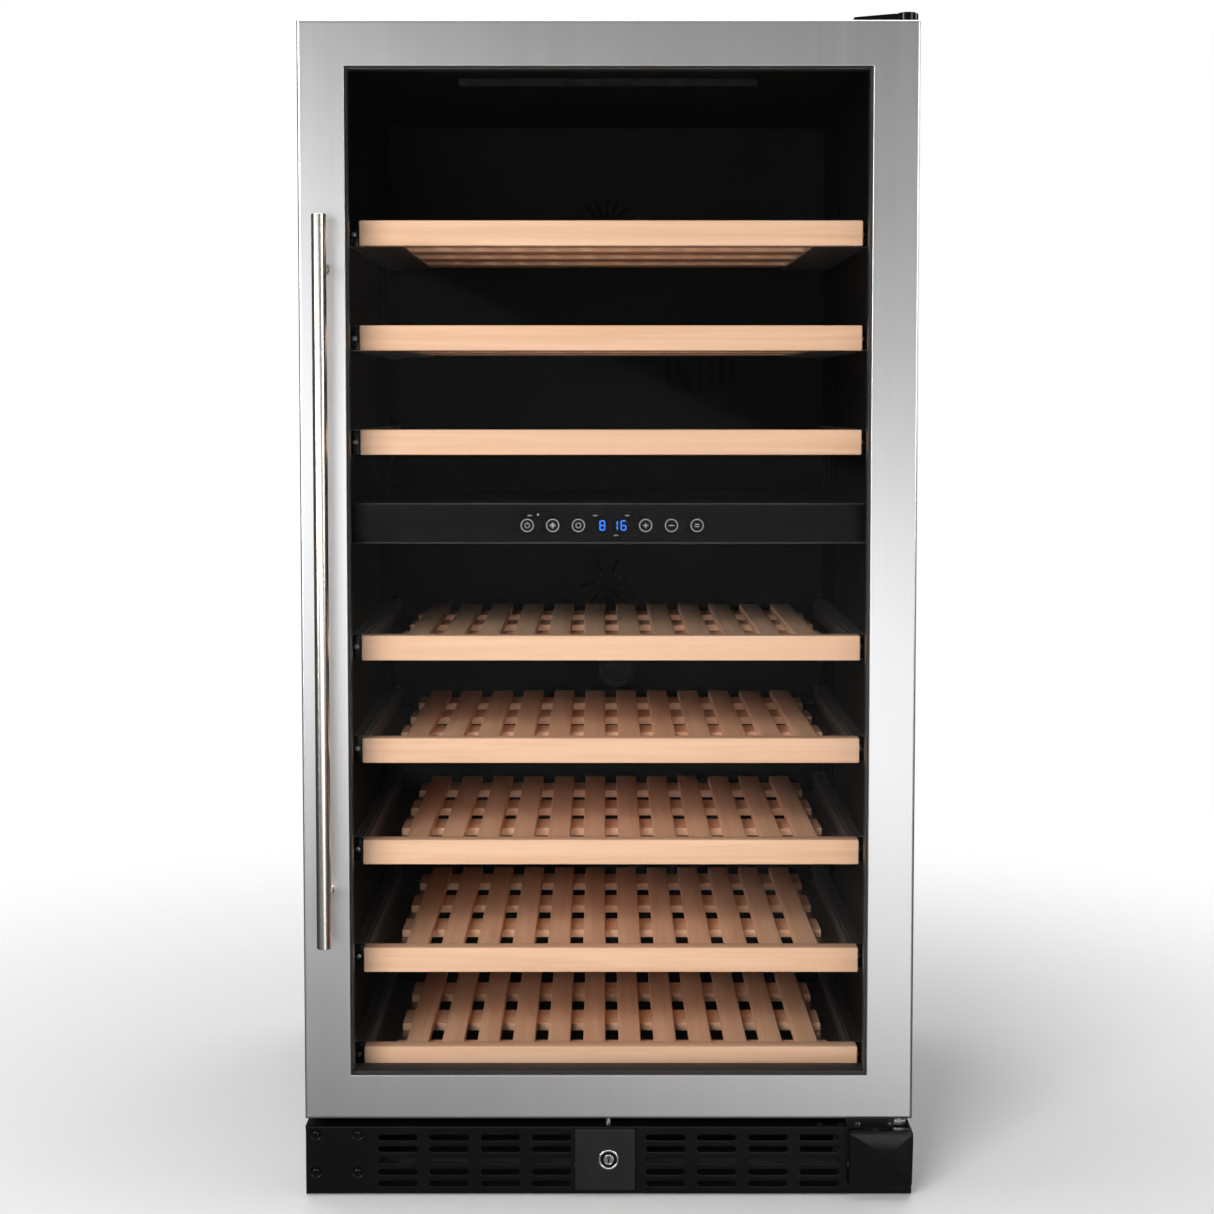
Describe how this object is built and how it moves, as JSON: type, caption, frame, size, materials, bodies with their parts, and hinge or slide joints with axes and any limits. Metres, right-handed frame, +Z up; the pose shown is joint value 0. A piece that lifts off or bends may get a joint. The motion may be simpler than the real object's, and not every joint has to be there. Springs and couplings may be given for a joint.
{
  "type": "wine cooler",
  "caption": "Tall two-zone wine cabinet with a framed glass door, vertical bar handle, sliding wooden shelves, a control strip and a louvred plinth with a key lock.",
  "frame": {"origin": "on the floor, under the middle of the object's bounding box", "axes": "+Z up, the door faces -Y, +X to the viewer's right"},
  "size_m": [0.595, 0.613, 1.152],
  "materials": {
    "cabinet_black": "satin black powder coat on steel sheet",
    "plinth_black": "satin black painted steel",
    "lock_black": "satin charcoal painted zinc casting",
    "foam": "pale rigid foam, fine closed cells",
    "liner_black": "matte black vacuum-formed plastic",
    "gloss_black": "gloss black",
    "circuit_board": "green laminate",
    "led_lens": "frosted lens",
    "fin_aluminium": "bright thin fins",
    "motor_black": "satin black",
    "compressor_black": "semi-gloss black enamel",
    "copper": "bare copper, slightly dulled",
    "runner_steel": "black coated steel",
    "zinc_steel": "bright zinc plate",
    "cover_black": "glossy black moulding",
    "screw_steel": "black screws, polished by the driver",
    "fan_black": "matte black moulding",
    "filter_grey": "dark grey moulding",
    "chrome": "polished chrome",
    "foot_rubber": "black rubber and steel",
    "stainless": "fine vertical brush",
    "door_core_black": "black moulded frame",
    "glass": "clear double glazing with a light grey tint",
    "spacer_grey": "dark grey spacer",
    "gasket_rubber": "soft black seal",
    "handle_steel": "brushed bar with warm reflections",
    "bush_nylon": "natural nylon",
    "beech": "oiled beech, fine grain"
  },
  "bodies": {
    "cabinet": {"outer_wrap": "cabinet_black", "back_panel": "cabinet_black", "rear_grille": "cabinet_black", "base_tray": "cabinet_black", "plinth_grille": "plinth_black", "insulation_foam": "foam", "inner_liner": "liner_black", "divider_panel": "liner_black", "duct_covers": "liner_black", "control_fascia": "gloss_black", "display_module": "gloss_black", "control_board": "circuit_board", "led_strips": "led_lens", "evaporators": "fin_aluminium", "condenser": "fin_aluminium", "fan_motors": "motor_black", "compressor": "compressor_black", "refrigerant_pipes": "copper", "drip_tray": "liner_black", "shelf_runners": "runner_steel", "hinge_brackets": "zinc_steel", "hinge_covers": "cover_black", "cabinet_screws": "screw_steel", "lock_housing": "lock_black", "power_inlet": "liner_black"},
    "door": {"door_skin": "stainless", "door_core": "door_core_black", "glass_panes": "glass", "glass_spacer": "spacer_grey", "gasket": "gasket_rubber", "handle_bar": "handle_steel", "handle_posts": "handle_steel", "door_bushes": "bush_nylon", "door_bottom_plate": "zinc_steel"},
    "lock_cylinder": {"lock_cylinder": "chrome"},
    "lock_bolt": {"lock_bolt": "zinc_steel"},
    "charcoal_filter": {"charcoal_filter": "filter_grey"},
    "upper_fan": {"upper_fan": "fan_black"},
    "lower_fan": {"lower_fan": "fan_black"},
    "condenser_fan": {"condenser_fan": "fan_black"},
    "shelf_1": {"shelf_1_rack": "beech", "shelf_1_slides": "runner_steel"},
    "shelf_2": {"shelf_2_rack": "beech", "shelf_2_slides": "runner_steel"},
    "shelf_3": {"shelf_3_rack": "beech", "shelf_3_slides": "runner_steel"},
    "shelf_4": {"shelf_4_rack": "beech", "shelf_4_slides": "runner_steel"},
    "shelf_5": {"shelf_5_rack": "beech", "shelf_5_slides": "runner_steel"},
    "shelf_6": {"shelf_6_rack": "beech", "shelf_6_slides": "runner_steel"},
    "shelf_7": {"shelf_7_rack": "beech", "shelf_7_slides": "runner_steel"},
    "shelf_8": {"shelf_8_rack": "beech", "shelf_8_slides": "runner_steel"},
    "foot_front_left": {"foot_front_left": "foot_rubber"},
    "foot_front_right": {"foot_front_right": "foot_rubber"},
    "foot_rear_left": {"foot_rear_left": "foot_rubber"},
    "foot_rear_right": {"foot_rear_right": "foot_rubber"}
  },
  "joints": [
    {"name": "door_hinge", "type": "hinge", "parent": "cabinet", "child": "door", "pos_m": [0.2868, -0.245, 0.61], "axis": [0, 0, 1], "range_deg": [0, 110]},
    {"name": "shelf_1_slide", "type": "slide", "parent": "cabinet", "child": "shelf_1", "axis": [0, -1, 0], "range_m": [0, 0.025]},
    {"name": "shelf_2_slide", "type": "slide", "parent": "cabinet", "child": "shelf_2", "axis": [0, -1, 0], "range_m": [0, 0.025]},
    {"name": "shelf_3_slide", "type": "slide", "parent": "cabinet", "child": "shelf_3", "axis": [0, -1, 0], "range_m": [0, 0.025]},
    {"name": "shelf_4_slide", "type": "slide", "parent": "cabinet", "child": "shelf_4", "axis": [0, -1, 0], "range_m": [0, 0.025]},
    {"name": "shelf_5_slide", "type": "slide", "parent": "cabinet", "child": "shelf_5", "axis": [0, -1, 0], "range_m": [0, 0.025]},
    {"name": "shelf_6_slide", "type": "slide", "parent": "cabinet", "child": "shelf_6", "axis": [0, -1, 0], "range_m": [0, 0.025]},
    {"name": "shelf_7_slide", "type": "slide", "parent": "cabinet", "child": "shelf_7", "axis": [0, -1, 0], "range_m": [0, 0.025]},
    {"name": "shelf_8_slide", "type": "slide", "parent": "cabinet", "child": "shelf_8", "axis": [0, -1, 0], "range_m": [0, 0.015]},
    {"name": "lock_turn", "type": "hinge", "parent": "cabinet", "child": "lock_cylinder", "pos_m": [0, -0.262, 0.0378], "axis": [0, 1, 0], "range_deg": [0, 90]},
    {"name": "lock_bolt_slide", "type": "slide", "parent": "cabinet", "child": "lock_bolt", "axis": [0, 0, 1], "range_m": [0, 0.012]},
    {"name": "filter_twist", "type": "hinge", "parent": "cabinet", "child": "charcoal_filter", "pos_m": [0.012, 0.213, 0.461], "axis": [0, 1, 0], "range_deg": [0, 45]},
    {"name": "upper_fan_spin", "type": "hinge", "parent": "cabinet", "child": "upper_fan", "pos_m": [0, 0.228, 0.985], "axis": [0, 1, 0], "continuous": true},
    {"name": "lower_fan_spin", "type": "hinge", "parent": "cabinet", "child": "lower_fan", "pos_m": [0, 0.228, 0.56], "axis": [0, 1, 0], "continuous": true},
    {"name": "condenser_fan_spin", "type": "hinge", "parent": "cabinet", "child": "condenser_fan", "pos_m": [-0.11, 0.222, 0.095], "axis": [0, 1, 0], "continuous": true},
    {"name": "foot_front_left_turn", "type": "hinge", "parent": "cabinet", "child": "foot_front_left", "pos_m": [-0.255, -0.175, 0.004], "axis": [0, 0, 1], "continuous": true},
    {"name": "foot_front_right_turn", "type": "hinge", "parent": "cabinet", "child": "foot_front_right", "pos_m": [0.255, -0.175, 0.004], "axis": [0, 0, 1], "continuous": true},
    {"name": "foot_rear_left_turn", "type": "hinge", "parent": "cabinet", "child": "foot_rear_left", "pos_m": [-0.255, 0.265, 0.004], "axis": [0, 0, 1], "continuous": true},
    {"name": "foot_rear_right_turn", "type": "hinge", "parent": "cabinet", "child": "foot_rear_right", "pos_m": [0.255, 0.265, 0.004], "axis": [0, 0, 1], "continuous": true}
  ],
  "couplings": [
    {"joint": "lock_bolt_slide", "follows": "lock_turn", "m_per_rad": 0.007639}
  ]
}
